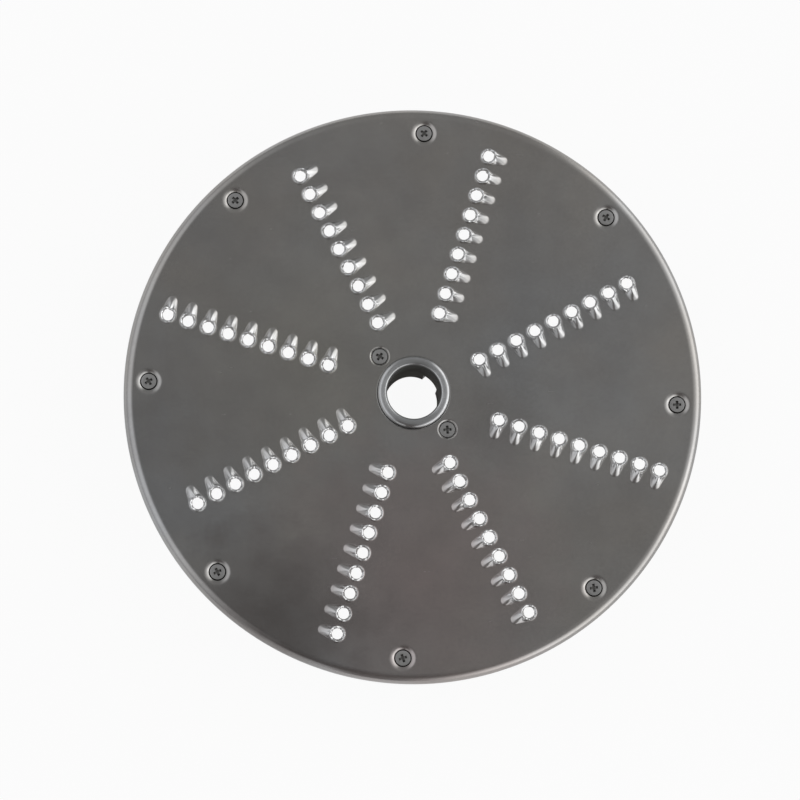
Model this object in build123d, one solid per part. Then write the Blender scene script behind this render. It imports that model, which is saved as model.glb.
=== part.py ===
from build123d import *
from math import acos, atan, cos, degrees, pi, radians, sin, tan
import os

# Grating disc of a countertop vegetable cutter, lying on its hub with the teeth up.
# Millimetres. +Z is the axis of the bore, and z = 0 is the rear end of the hub.

# Grating plate, one pressed stainless sheet
PLATE_D = 205.0
SHEET = 1.0
FACE_Z = 30.0
RIM_BEND_R = 3.0
RIM_DEPTH = 7.0
CENTRE_CLEARANCE = 0.3

# Tooth, a hood pressed up round a hole, with a tail that ramps down to the face
HOLE_D = 4.0
LIP_LAND = 0.5
LIP_FLARE = 0.5
LIP_FRONT_H = 0.45
CUTTING_EDGE_H = 1.8
TAIL_LENGTH = 7.2
TAIL_TIP_R = 1.4
SCOOP_FLARE = 0.3
SCOOP_LENGTH = 5.2
SCOOP_TIP_R = 0.9
OVERRUN = 0.2

# Facets of what is small and repeats, so that the whole disc stays light
TOOTH_FRONT_SIDES = 5
TOOTH_TIP_SIDES = 2
SMALL_SIDES = 10
BEND_STEPS = 2

# Tooth pattern, rows that start a quarter of a pitch further out in turn
ROW_COUNT = 8
TOOTH_PITCH = 7.43
TOOTH_MARGIN = 10.0
FIRST_TOOTH_R = 26.1
ROW_ANGLE = 27.7
ROW_OFFSET = 0.23
ROW_STAGGER = (0, 2, 1, 3)

# Countersunk screws
SCREW_D = 3.0
SCREW_HEAD_D = 5.5
SCREW_LENGTH = 6.0
THREAD_CLEARANCE = 0.05
SEAT_CLEARANCE = 0.03

# Seats of the rim screws, dimples pressed into the sheet
RIM_SCREW_LEAD = 15.0
RIM_SCREW_INSET = 8.9
DIMPLE_D = 9.5
DIMPLE_HOLE_D = 4.4
DIMPLE_SLOPE = 24.0
DIMPLE_CLEARANCE = 0.1

# Seats of the hub screws, sharp countersinks
HUB_SCREW_GAP = 4.95
HUB_SCREW_STEP = 2
COUNTERSINK_D = 7.0

# Carrier, one aluminium casting: hub, flange and arms that end in pads
BORE_D = 19.0
BORE_CHAMFER = 0.6
COLLAR_D = 25.4
COLLAR_HEIGHT = 3.0
COLLAR_CHAMFER = 0.7
HUB_REAR_D = 29.0
HUB_DRAFT = 1.0
FLANGE_MARGIN = 4.35
FLANGE_THICKNESS = 5.0
FLANGE_CONE_H = 4.0
SLOT_WIDTH = 7.0
SLOT_DEPTH = 12.0
SPOKE_WIDTH = 6.0
SPOKE_DEPTH = 5.5
GUSSET_DEPTH = 14.0
GUSSET_R = 45.0
PAD_WIDTH = 14.0
PAD_DEPTH = 6.0
RIM_CLEARANCE = 0.6

# Sizes that follow from the ones above
PLATE_R = PLATE_D / 2
BACK_Z = FACE_Z - SHEET
HOLE_R = HOLE_D / 2
LIP_R = HOLE_R + LIP_LAND
HOOD_R = LIP_R + LIP_FLARE
LIP_SLOPE = (CUTTING_EDGE_H - LIP_FRONT_H) / (2 * LIP_R)
LIP_MID_H = (CUTTING_EDGE_H + LIP_FRONT_H) / 2
SCREW_R = SCREW_D / 2
SCREW_HEAD_R = SCREW_HEAD_D / 2
THREAD_HOLE_R = SCREW_R + THREAD_CLEARANCE
HEAD_CONE_H = SCREW_HEAD_R - SCREW_R
BORE_R = BORE_D / 2
COLLAR_R = COLLAR_D / 2
COLLAR_TOP = FACE_Z + COLLAR_HEIGHT
HUB_SCREW_R = COLLAR_R + HUB_SCREW_GAP
FLANGE_R = HUB_SCREW_R + FLANGE_MARGIN
RIM_SCREW_R = PLATE_R - RIM_SCREW_INSET
PAD_END = PLATE_R - SHEET - RIM_CLEARANCE
PAD_CORNER = RIM_BEND_R - SHEET
RIM_SCREW_ANGLE = ROW_ANGLE + RIM_SCREW_LEAD
ROW_STEP = 360 / ROW_COUNT
STAGGER_STEP = TOOTH_PITCH / len(ROW_STAGGER)
LAST_TOOTH_R = PLATE_R - TOOTH_MARGIN - max(ROW_STAGGER) * STAGGER_STEP
TEETH_PER_ROW = int((LAST_TOOTH_R - FIRST_TOOTH_R) / TOOTH_PITCH) + 1

# Depths below the face at which the two kinds of screw head come to rest
DIMPLE_R = DIMPLE_D / 2
DIMPLE_HOLE_R = DIMPLE_HOLE_D / 2
DIMPLE_RISE = tan(radians(DIMPLE_SLOPE))
DIMPLE_DEPTH = (DIMPLE_R - DIMPLE_HOLE_R) * DIMPLE_RISE
RIM_HEAD_DEPTH = DIMPLE_DEPTH - (SCREW_HEAD_R - DIMPLE_HOLE_R) - SEAT_CLEARANCE
HUB_HEAD_DEPTH = COUNTERSINK_D / 2 - SCREW_HEAD_R - SEAT_CLEARANCE


def turned(points):
    """Solid of revolution about Z from a closed outline of (radius, z) points."""
    return revolve(make_face(Plane.XZ * Polyline(*points, close=True)), Axis.Z)


def polar(angle, radius, z=0.0):
    """Place at an angle and radius about the disc's axis, with its X axis pointing outwards."""
    return Location((0, 0, z), (0, 0, angle)) * Location((radius, 0, 0))


def rim_screw_angles():
    return [RIM_SCREW_ANGLE + ROW_STEP * i for i in range(ROW_COUNT)]


def hub_screw_angles():
    first = RIM_SCREW_ANGLE + ROW_STEP * HUB_SCREW_STEP
    return [first, first + 180]


def arc_points(radius, start, end, steps, centre=(0.0, 0.0)):
    """Corners along an arc, with both of its ends."""
    turns = [radians(start + (end - start) * i / steps) for i in range(steps + 1)]
    return [(centre[0] + radius * cos(turn), centre[1] + radius * sin(turn)) for turn in turns]


def flank_angle(front_r, tip_r, length):
    """Angle at which the straight flanks of a teardrop leave its round front."""
    return degrees(acos((front_r - tip_r) / (length - tip_r)))


def teardrop(front_r, tip_r, length, z):
    """Corners of a tooth at one height: a round front, straight flanks and a round tail tip."""
    side = flank_angle(front_r, tip_r, length)
    front = arc_points(front_r, side, 360 - side, TOOTH_FRONT_SIDES)
    tip = arc_points(tip_r, -side, side, TOOTH_TIP_SIDES, (length - tip_r, 0))
    return [(x, y, z) for x, y in front + tip]


def lip(radius, side):
    """Corners in the sloping plane of the lip, round from above, one for each of a teardrop's."""
    front = arc_points(radius, side, 360 - side, TOOTH_FRONT_SIDES)
    tail = arc_points(radius, -side, side, TOOTH_TIP_SIDES + 2)[1:-1]
    return [(x, y, LIP_MID_H + x * LIP_SLOPE) for x, y in front + tail]


def flat_face(*corners):
    return make_face(Polyline(*corners, close=True)).face()


def skin(low, top):
    """Faceted solid between two closed outlines with as many corners each."""
    faces = [flat_face(*low), flat_face(*top)]
    for i in range(len(low)):
        faces.append(flat_face(low[i - 1], low[i], top[i]))
        faces.append(flat_face(low[i - 1], top[i], top[i - 1]))
    return Solid(Shell(faces))


def tooth_hood():
    """Raised body of one tooth on the face at z = 0, with its tail along +X."""
    base = teardrop(HOOD_R, TAIL_TIP_R, TAIL_LENGTH, 0)
    return skin(base, lip(LIP_R, flank_angle(HOOD_R, TAIL_TIP_R, TAIL_LENGTH)))


def tooth_scoop():
    """Space under one tooth, from the back of the sheet up through the cutting hole."""
    mouth = teardrop(HOLE_R + SCOOP_FLARE, SCOOP_TIP_R, SCOOP_LENGTH, -SHEET)
    return skin(mouth, lip(HOLE_R, flank_angle(HOOD_R, TAIL_TIP_R, TAIL_LENGTH)))


def tooth_places():
    """Place of every tooth, with X along the tail, which trails clockwise seen from above."""
    places = []
    for row in range(ROW_COUNT):
        start = FIRST_TOOTH_R + ROW_STAGGER[row % len(ROW_STAGGER)] * STAGGER_STEP
        for tooth in range(TEETH_PER_ROW):
            spot = polar(ROW_ANGLE + ROW_STEP * row, start + tooth * TOOTH_PITCH, FACE_Z)
            places.append(spot * Location((0, -ROW_OFFSET, 0), (0, 0, -90)))
    return places


def sheet_pan():
    """Round sheet with its edge turned down and a hole in the middle for the hub's collar."""
    hole_r = COLLAR_R + CENTRE_CLEARANCE
    edge_z = FACE_Z - RIM_DEPTH
    centre = (PLATE_R - RIM_BEND_R, FACE_Z - RIM_BEND_R)
    outer_bend = arc_points(RIM_BEND_R, 90, 0, BEND_STEPS, centre)
    inner_bend = arc_points(RIM_BEND_R - SHEET, 0, 90, BEND_STEPS, centre)
    outside = [(hole_r, FACE_Z), *outer_bend, (PLATE_R, edge_z)]
    inside = [(PLATE_R - SHEET, edge_z), *inner_bend, (hole_r, BACK_Z)]
    return turned(outside + inside)


def faceted_cone(top_r, top_z, low_r, depth):
    """Small upright cone or cylinder with flat sides, down from a height, never wider at its foot."""
    lean = degrees(atan((top_r - low_r) * cos(pi / SMALL_SIDES) / depth))
    upside_down = extrude(RegularPolygon(top_r, SMALL_SIDES), depth, taper=lean)
    return Pos(0, 0, top_z) * Rot(180, 0, 0) * upside_down


def dimple_back_r():
    """Radius at which the back of a dimple leaves the back of the sheet."""
    return DIMPLE_R + SHEET * tan(radians(DIMPLE_SLOPE) / 2)


def dimple_back():
    """Back of a pressed dimple, a cone that hangs below the sheet."""
    top_r = dimple_back_r()
    return faceted_cone(top_r, BACK_Z, DIMPLE_HOLE_R, (top_r - DIMPLE_HOLE_R) * DIMPLE_RISE)


def dimple_front():
    """Space that a dimple leaves open above the sheet, with the hole through its bottom."""
    top_r = DIMPLE_R + OVERRUN / DIMPLE_RISE
    slope = faceted_cone(top_r, FACE_Z + OVERRUN, DIMPLE_HOLE_R, DIMPLE_DEPTH + OVERRUN)
    return slope + faceted_cone(DIMPLE_HOLE_R, FACE_Z - DIMPLE_DEPTH, DIMPLE_HOLE_R, 2 * SHEET)


def rim_seat():
    """Room in a pad for the back of a dimple, down to the hole for the screw's thread."""
    top_r = dimple_back_r() + DIMPLE_CLEARANCE
    return faceted_cone(top_r, BACK_Z, THREAD_HOLE_R, (top_r - THREAD_HOLE_R) * DIMPLE_RISE)


def countersink():
    """Conical seat of a hub screw, through the sheet and into the flange under it."""
    top_r = COUNTERSINK_D / 2 + OVERRUN
    return faceted_cone(top_r, FACE_Z + OVERRUN, THREAD_HOLE_R, top_r - THREAD_HOLE_R)


def tapped_hole(depth):
    """Plain hole for a screw's thread, down from the back of the sheet."""
    return faceted_cone(THREAD_HOLE_R, BACK_Z, THREAD_HOLE_R, depth + OVERRUN)


def grating_plate():
    """Pressed sheet with the teeth, the dimples of the rim and the seats of the hub screws."""
    hood = tooth_hood()
    scoop = tooth_scoop()
    rim_spots = [polar(angle, RIM_SCREW_R) for angle in rim_screw_angles()]
    hub_spots = [polar(angle, HUB_SCREW_R) for angle in hub_screw_angles()]
    raised = [place * hood for place in tooth_places()]
    hanging = [spot * dimple_back() for spot in rim_spots]
    holes = [place * scoop for place in tooth_places()]
    holes += [spot * dimple_front() for spot in rim_spots]
    holes += [spot * countersink() for spot in hub_spots]
    return sheet_pan() + raised + hanging - holes


def hub():
    """Turned centre of the casting: collar, flange and tapered barrel."""
    rear_r = HUB_REAR_D / 2
    barrel_r = rear_r + HUB_DRAFT
    flange_z = BACK_Z - FLANGE_THICKNESS
    return turned([
        (0, 0), (rear_r, 0), (barrel_r, flange_z - FLANGE_CONE_H),
        (FLANGE_R, flange_z), (FLANGE_R, BACK_Z), (COLLAR_R, BACK_Z),
        (COLLAR_R, COLLAR_TOP - COLLAR_CHAMFER), (COLLAR_R - COLLAR_CHAMFER, COLLAR_TOP),
        (0, COLLAR_TOP),
    ])


def hub_bore():
    """Through bore with a chamfered mouth."""
    return turned([
        (0, -OVERRUN), (BORE_R, -OVERRUN), (BORE_R, COLLAR_TOP - BORE_CHAMFER),
        (BORE_R + BORE_CHAMFER, COLLAR_TOP), (BORE_R + BORE_CHAMFER, COLLAR_TOP + OVERRUN),
        (0, COLLAR_TOP + OVERRUN),
    ])


def drive_slot():
    """Slot across the rear end of the hub for the cross pin of the drive shaft."""
    slot = Box(HUB_REAR_D + 4 * HUB_DRAFT, SLOT_WIDTH, SLOT_DEPTH + OVERRUN)
    return Rot(0, 0, RIM_SCREW_ANGLE) * Pos(0, 0, (SLOT_DEPTH - OVERRUN) / 2) * slot


def arm():
    """Arm along X from the hub to a pad under the rim, deeper where it meets the hub."""
    rib = Polyline(
        (BORE_R + HUB_DRAFT, BACK_Z), (RIM_SCREW_R, BACK_Z), (RIM_SCREW_R, BACK_Z - SPOKE_DEPTH),
        (GUSSET_R, BACK_Z - SPOKE_DEPTH), (BORE_R + HUB_DRAFT, BACK_Z - GUSSET_DEPTH), close=True,
    )
    pad_start = RIM_SCREW_R - PAD_WIDTH / 2
    pad = Polyline(
        (pad_start, BACK_Z), (PAD_END - PAD_CORNER, BACK_Z), (PAD_END, BACK_Z - PAD_CORNER),
        (PAD_END, BACK_Z - PAD_DEPTH), (pad_start, BACK_Z - PAD_DEPTH), close=True,
    )
    rib_body = extrude(make_face(Plane.XZ * rib), SPOKE_WIDTH / 2, both=True)
    return rib_body + extrude(make_face(Plane.XZ * pad), PAD_WIDTH / 2, both=True)


def carrier():
    """One casting that carries the plate and takes the drive."""
    one_arm = arm()
    arms = [Rot(0, 0, angle) * one_arm for angle in rim_screw_angles()]
    pad_seat = rim_seat() + tapped_hole(PAD_DEPTH)
    hub_seat = countersink() + tapped_hole(FLANGE_THICKNESS + FLANGE_CONE_H)
    seats = [polar(angle, RIM_SCREW_R) * pad_seat for angle in rim_screw_angles()]
    seats += [polar(angle, HUB_SCREW_R) * hub_seat for angle in hub_screw_angles()]
    return hub() + arms - seats - hub_bore() - drive_slot()


def screw(head_depth):
    """Countersunk screw, upright on Z with the top of its head below the face."""
    top = FACE_Z - head_depth
    head = faceted_cone(SCREW_HEAD_R, top, SCREW_R, HEAD_CONE_H)
    return head + faceted_cone(SCREW_R, top - HEAD_CONE_H, SCREW_R, SCREW_LENGTH - HEAD_CONE_H)


def screws(angles, radius, head_depth):
    """Group of like screws round the disc."""
    one = screw(head_depth)
    return Compound([polar(angle, radius) * one for angle in angles])


os.makedirs("parts", exist_ok=True)
export_step(grating_plate(), "parts/grating_plate.step")
export_step(carrier(), "parts/carrier.step")
export_step(screws(rim_screw_angles(), RIM_SCREW_R, RIM_HEAD_DEPTH), "parts/rim_screws.step")
export_step(screws(hub_screw_angles(), HUB_SCREW_R, HUB_HEAD_DEPTH), "parts/hub_screws.step")
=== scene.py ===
from math import acos, cos, pi, radians, sin, sqrt, tan

import bmesh
import bpy
from bpy.props import FloatProperty, FloatVectorProperty, IntProperty, PointerProperty
from bpy.types import Operator, Panel, PropertyGroup
from mathutils import Color, Matrix, Vector
from mathutils.geometry import delaunay_2d_cdt
from mathutils.noise import noise


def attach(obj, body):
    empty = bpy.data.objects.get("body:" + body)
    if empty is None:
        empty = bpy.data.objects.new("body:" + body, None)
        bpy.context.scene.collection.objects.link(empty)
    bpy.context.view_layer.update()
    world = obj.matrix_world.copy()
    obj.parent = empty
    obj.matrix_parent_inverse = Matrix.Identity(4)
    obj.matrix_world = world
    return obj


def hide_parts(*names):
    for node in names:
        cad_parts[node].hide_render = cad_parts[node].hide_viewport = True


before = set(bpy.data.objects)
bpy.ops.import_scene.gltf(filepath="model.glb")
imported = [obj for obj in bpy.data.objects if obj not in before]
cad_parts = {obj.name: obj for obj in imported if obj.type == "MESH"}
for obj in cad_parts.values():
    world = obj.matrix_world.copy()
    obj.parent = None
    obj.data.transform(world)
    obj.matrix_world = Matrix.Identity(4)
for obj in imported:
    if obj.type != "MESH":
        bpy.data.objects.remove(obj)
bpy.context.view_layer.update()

bl_info = {
    "name": "Grating Disc",
    "version": (1, 0, 0),
    "blender": (4, 5, 0),
    "location": "3D View > Sidebar > Grating Disc",
    "description": "Builds the grating disc of a vegetable cutter and the studio it is seen in",
    "category": "Add Mesh",
}

MM = 0.001

# Points round the circles
SEAT_SIDES, CENTRE_SIDES, RIM_SIDES, HUB_SIDES, DRILL_SIDES = 48, 96, 256, 160, 40

# Steps along the front, a flank and the tip of a tooth's foot
FRONT_STEPS, FLANK_STEPS, TIP_STEPS = 20, 6, 12

# Rings of a tooth: shares of the way up the hood, (share of the width, drop in mm) over the lip,
# shares of the way down the throat, and (growth, lift) in mm round the hollow
HOOD_SHARES = (0.0, 0.05, 0.12, 0.22, 0.34, 0.48, 0.62, 0.76, 0.88, 0.96)
LIP_SECTION = ((0.0, 0.04), (0.06, -0.015), (0.15, -0.03), (0.3, 0.03), (0.5, 0.13), (0.72, 0.26), (0.92, 0.4),
               (1.0, 0.55))
THROAT_SHARES = (0.3, 0.6, 1.0)
SCOOP_EDGE = ((0.05, 0.03), (0.13, 0.0), (0.4, 0.0))

# Wear of a tooth's rings from the face inwards: 1 is bare metal, and below 0 makes the edges inside the holes darker
HOOD_WEAR = (0, 0.1, 0.15, 0.2, 0.3, 0.4, 0.5, 0.6, 0.7, 0.85, 0.95, 1, 1, 1, 1, 1, 0.9, 0.1, -0.7, -0.5)

# Fullness of the hood's front, fall of the tail's crest, roundness of its ridge and fullness of its tip
FRONT_SWELL, CREST_FALL, RIDGE, TIP_DOME = 1.4, 1.4, 0.3, 0.75

# Places along the tail, between which the hood's front passes into the tail, and its ridge into a dome
TAIL_START, TAIL_DOME = (-1 * MM, 1 * MM), (3 * MM, 6 * MM)

# Hollow between a hood's foot and the face
FOOT_EASE = 0.10 * MM

# Torn bead of a lip: lumps round it, steps from tooth to tooth and from layer to layer, start and share
BURR_WAVES = ((2.0, 3.71, 1.3, 0, 1.0), (4.5, 1.93, 2.9, 40, 1.2))

# Quarters of a pitch by which the rows start further out, in turn
STAGGER = (0, 2, 1, 3)

# Gap round a shank, and radius of the pinhole along the axis of a turned cutter
SHANK_GAP, PINHOLE = 0.05 * MM, 0.01 * MM

# Angles from which an edge is shaded sharp, and from which an arm's edge is rounded
SHARP, ROUNDED = radians(30), radians(8)

# Degrees by which the first screw of a ring is turned, and each further one
SPIN_START, SPIN_STEP = 15, 37

# Marks on the sheet: x, y and reach in mm, and strength
OILY = (-38, 12, 62, 0.8)
TARNISHED = (2, -66, 62, 0.9)
# Painted shade: a dark patch towards the lower left of the face
LOWER_LEFT_SHADE = (-48, -80, 42, 0.95)
RUBBED = (27, -10, 24, 0.4)

# Camera: direction to it, shift of its picture, sensor in mm and reach in m
VIEW_BACK, PICTURE_SHIFT, SENSOR, CLIP_END = (-0.0367, -0.1238, 0.9916), (-0.0171, -0.0090), 36.0, 20.0


def length(name, default_mm):
    """Property for a length, with its default given in millimetres."""
    return FloatProperty(name=name, default=default_mm * MM, subtype="DISTANCE", unit="LENGTH", precision=4)


def turn(name, default_deg):
    """Property for an angle, with its default given in degrees."""
    return FloatProperty(name=name, default=radians(default_deg), subtype="ANGLE", unit="ROTATION")


def tint(name, default):
    """Property for a colour."""
    return FloatVectorProperty(name=name, default=default, subtype="COLOR", size=3, min=0.0, max=1.0)


def glow(name, default):
    """Property for the colour of a light, which may be brighter than white."""
    return FloatVectorProperty(name=name, default=default, subtype="COLOR", size=3, min=0.0, soft_max=2.0)


def factor(name, default):
    """Property for a number from nought to one."""
    return FloatProperty(name=name, default=default, subtype="FACTOR", min=0.0, max=1.0)


class PlateSettings(PropertyGroup):
    """Sizes and finish of the pressed sheet"""

    diameter: length("Outer diameter of the plate", 204.94)
    sheet: length("Thickness of the sheet", 1.0)
    face_z: length("Height of the face above the rear end of the hub", 30.0)
    bend_r: length("Outer radius of the turned-down edge", 3.4)
    rim_depth: length("Depth of the turned-down edge", 7.0)
    centre_d: length("Diameter of the hole round the collar", 25.8)
    hole_d: length("Diameter of a tooth's hole", 3.9)
    lip_land: length("Width of the lip round a hole", 0.75)
    lip_flare: length("Width of the slope outside the lip", 0.25)
    lip_front: length("Height of the lip on the side without the tail", 0.45)
    burr: length("Unevenness of the lip", 0.6)
    edge_height: length("Height of the lip where the tail starts", 1.8)
    tail: length("Distance from a hole's centre to the tip of the tail", 7.0)
    tail_tip_r: length("Radius of the tip of the tail", 1.6)
    scoop: length("Distance from a hole's centre to the end of its hollow", 5.2)
    scoop_tip_r: length("Radius of the end of the hollow", 0.9)
    scoop_flare: length("How much wider a hole is at the back of the sheet", 0.3)
    rows: IntProperty(name="Number of rows of teeth", default=8, min=1)
    teeth: IntProperty(name="Number of teeth in one row", default=9, min=1)
    pitch: length("Distance between the teeth of a row", 7.43)
    first_r: length("Radius of the innermost tooth", 26.1)
    row_angle: turn("Angle of the first row", 27.7)
    row_offset: length("How far a row lies clockwise of a true radius", 0.23)
    rim_seat_r: length("Distance of the rim screws from the axis", 93.6)
    hub_seat_r: length("Distance of the hub screws from the axis", 17.65)
    seat_lead: turn("Angle from a row of teeth to the next rim screw", 15.0)
    dimple_d: length("Diameter of a rim screw's dimple", 9.5)
    dimple_hole_d: length("Diameter of the hole in a dimple", 4.4)
    dimple_slope: turn("Slope of a dimple's wall", 24.0)
    moat_d: length("Diameter of the groove round a screw's head in a dimple", 5.78)
    countersink_d: length("Diameter of a hub screw's countersink", 7.0)
    cool: tint("Colour of the sheet where it is clean", (0.552, 0.56, 0.565))
    warm: tint("Colour of the sheet where it is stained", (0.558, 0.537, 0.51))
    olive: tint("Colour of the sheet where it is oily", (0.572, 0.551, 0.497))
    pink: tint("Colour of the sheet where it is tarnished", (0.602, 0.508, 0.498))
    # The smudge colour is also the colour of the painted shade towards the lower left
    dull: tint("Colour of the sheet where it is smudged", (0.3, 0.282, 0.274))
    bare: tint("Colour of the worn lips of the teeth", (0.78, 0.785, 0.79))
    # Darker colour for the edges inside the holes
    hole_edge_dark: tint("Colour of the edges inside the holes", (0.16, 0.155, 0.15))
    roughness: factor("Mean roughness of the sheet", 0.25)


class ScrewSettings(PropertyGroup):
    """Sizes and finish of the screws"""

    shank_d: length("Diameter of the shank", 3.0)
    head_d: length("Diameter of the head", 5.4)
    total: length("Length from the top of the head to the end", 6.0)
    rim_depth: length("Depth of a rim screw's head below the face", 0.555)
    hub_depth: length("Depth of a hub screw's head below the face", 0.72)
    recess_span: length("Width of the cross recess over its arms", 2.9)
    recess_width: length("Width of one arm of the recess", 0.9)
    recess_depth: length("Depth of the recess in the middle", 1.0)
    colour: tint("Colour of the screws", (0.56, 0.56, 0.555))
    shade: tint("Colour of the screws' darker patches", (0.46, 0.455, 0.445))
    # Colour of the painted shade in the screws' recesses
    painted_shade: tint("Colour of the dirt in the recesses", (0.13, 0.127, 0.12))
    roughness: factor("Mean roughness of the screws", 0.35)


class CarrierSettings(PropertyGroup):
    """Sizes and finish of the casting"""

    bore_d: length("Diameter of the bore", 19.0)
    bore_chamfer: length("Chamfer at the mouth of the bore", 0.6)
    collar_d: length("Diameter of the collar", 25.4)
    collar_height: length("Height of the collar above the face", 3.0)
    collar_round: length("Radius of the collar's outer edge", 1.3)
    rear_d: length("Diameter of the hub's rear end", 29.0)
    draft: length("How much the hub widens on its way to the flange", 1.0)
    flange_d: length("Diameter of the flange", 44.0)
    flange: length("Thickness of the flange", 5.0)
    flange_cone: length("Height of the cone under the flange", 4.0)
    slot_width: length("Width of the drive slot", 7.0)
    slot_depth: length("Depth of the drive slot", 12.0)
    arm_width: length("Width of an arm", 6.0)
    arm_depth: length("Depth of an arm", 5.5)
    gusset_depth: length("Depth of an arm where it meets the hub", 14.0)
    gusset_r: length("Radius at which an arm has run out to its own depth", 45.0)
    pad_width: length("Width of the pad at an arm's end", 14.0)
    pad_depth: length("Depth of the pad", 6.0)
    pad_end: length("Radius of the pad's outer end", 100.9)
    arm_round: length("Rounding of an arm's edges", 0.7)
    pad_round: length("Rounding of a pad's edges", 0.9)
    seat_gap: length("Gap between a dimple and its pad, along the face", 0.35)
    cast: tint("Colour of the cast surfaces", (0.60, 0.60, 0.605))
    cast_shade: tint("Colour of the cast surfaces' darker patches", (0.44, 0.44, 0.44))
    turned: tint("Colour of the turned collar", (0.66, 0.67, 0.68))
    turned_shade: tint("Colour of the collar's darker patches", (0.55, 0.555, 0.56))
    # Painted shade: the bore's wall is darkened near its mouth, with paler patches, and fades to a paler colour far
    # from the mouth
    bore: tint("Colour of the stained wall of the bore", (0.12, 0.12, 0.117))
    bore_shade: tint("Colour of the bore's paler patches", (0.15, 0.148, 0.14))
    bore_deep: tint("Colour of the bore far from its mouth", (0.5, 0.49, 0.47))
    roughness: factor("Roughness of the turned surfaces", 0.22)


class StageSettings(PropertyGroup):
    """Floor, light and camera"""

    floor: tint("Colour of the floor", (0.9, 0.9, 0.9))
    floor_shade: tint("Colour of the floor's darker patches", (0.88, 0.88, 0.885))
    seen_white: factor("Share of plain white in the floor that the camera sees", 0.94)
    mirrored_white: factor("Share of plain white in the floor that the metal mirrors", 0.3)
    floor_size: length("Width of the floor", 6000.0)
    sky_right: tint("Colour of the dark top of the tent to the right", (0.268, 0.268, 0.266))
    sky_left: tint("Colour of the dark top of the tent to the left", (0.118, 0.115, 0.114))
    right_wall: glow("Light of the tent's right wall at its foot", (1.5, 1.5, 1.5))
    right_top: glow("Light of the tent's right wall at its top", (0.60, 0.60, 0.60))
    left_wall: glow("Light of the tent's left wall", (0.76, 0.765, 0.78))
    left_foot: glow("Light of the tent's left wall at its foot", (0.50, 0.50, 0.51))
    near_gap: glow("Light of the gap between the walls on the near side", (0.11, 0.10, 0.097))
    near_table: glow("Light of the table below the near gap", (0.62, 0.62, 0.62))
    far_gap: glow("Light of the gap between the walls on the far side", (0.26, 0.26, 0.26))
    distance: length("Distance from the camera to the middle of the face", 1100.0)
    lens: FloatProperty(name="Focal length of the camera in millimetres", default=140.0)


def circles(profile, count):
    """Closed rings of points about Z, one for each (radius, height) of a profile."""
    turns = [2 * pi * i / count for i in range(count)]
    return [[Vector((radius * cos(a), radius * sin(a), z)) for a in turns] for radius, z in profile]


class Skin:
    """Collects the vertices and faces of one mesh."""

    def __init__(self):
        self.verts = []
        self.faces = []
        self.worn = {}

    def ring(self, points, place=Matrix.Identity(4)):
        """Adds a closed ring of points and returns their numbers."""
        first = len(self.verts)
        self.verts += [place @ point for point in points]
        return list(range(first, len(self.verts)))

    def band(self, outer, inner):
        """Joins two rings with as many points each by a band of quads."""
        count = len(outer)
        for i in range(count):
            j = (i + 1) % count
            self.faces.append((outer[i], outer[j], inner[j], inner[i]))

    def stack(self, rings, place, worn):
        """Joins a row of rings by bands and returns the numbers of the first and the last."""
        numbered = [self.ring(points, place) for points in rings]
        for ring, share in zip(numbered, worn):
            self.worn.update((number, share) for number in ring)
        for outer, inner in zip(numbered, numbered[1:]):
            self.band(outer, inner)
        return numbered[0], numbered[-1]

    def plug(self, rings):
        """Adds a body with flat ends from rings, the first at its top and anticlockwise seen from there."""
        numbered = [self.ring(points) for points in rings]
        for upper, lower in zip(numbered, numbered[1:]):
            self.band(lower, upper)
        self.faces.append(tuple(numbered[0]))
        self.faces.append(tuple(reversed(numbered[-1])))

    def flat(self, outer, holes, up):
        """Fills the flat space between an outer ring and the rings of the holes in it."""
        loops = [outer] + holes
        numbers = [number for loop in loops for number in loop]
        owner = [k for k, loop in enumerate(loops) for _ in loop]
        edges = []
        start = 0
        for loop in loops:
            edges += [(start + i, start + (i + 1) % len(loop)) for i in range(len(loop))]
            start += len(loop)
        points = [Vector(self.verts[number][:2]) for number in numbers]
        found = delaunay_2d_cdt(points, edges, [], 0, 1e-9)
        origin = [group[0] for group in found[3]]
        for face in found[2]:
            ours = [origin[v] for v in face]
            kinds = {owner[v] for v in ours}
            if len(kinds) == 1 and 0 not in kinds:
                continue
            corners = [numbers[v] for v in ours]
            self.faces.append(tuple(corners if up else reversed(corners)))

    def mesh(self, name):
        """Makes a smooth mesh of what was collected."""
        mesh = bpy.data.meshes.new(name)
        mesh.from_pydata(self.verts, [], self.faces)
        mesh.validate()
        mesh.shade_smooth()
        if self.worn:
            share = mesh.attributes.new("worn", "FLOAT", "POINT")
            for number, value in self.worn.items():
                share.data[number].value = value
        return mesh


def new_object(name, data):
    """Object in the scene for a mesh, a lamp or a camera."""
    made = bpy.data.objects.new(name, data)
    bpy.context.scene.collection.objects.link(made)
    return made


def crisp(mesh, angle=SHARP):
    """Shades a mesh smooth, apart from the edges that are sharper than an angle."""
    mesh.shade_smooth()
    mesh.set_sharp_from_angle(angle=angle)
    return mesh


def show(name, mesh, material, node):
    """Puts a mesh into the scene as a piece that stands for a node of the frame."""
    piece = new_object(name, mesh)
    piece.data.materials.clear()
    piece.data.materials.append(material)
    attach(piece, "root")
    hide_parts(node)
    return piece


def spread(low, high, steps):
    """Evenly spaced values, both ends included."""
    return [low + (high - low) * i / steps for i in range(steps + 1)]


def flank_angle(front_r, tip_r, reach):
    """Angle at which the straight flanks of a teardrop leave its round front."""
    return acos((front_r - tip_r) / (reach - tip_r))


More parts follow.
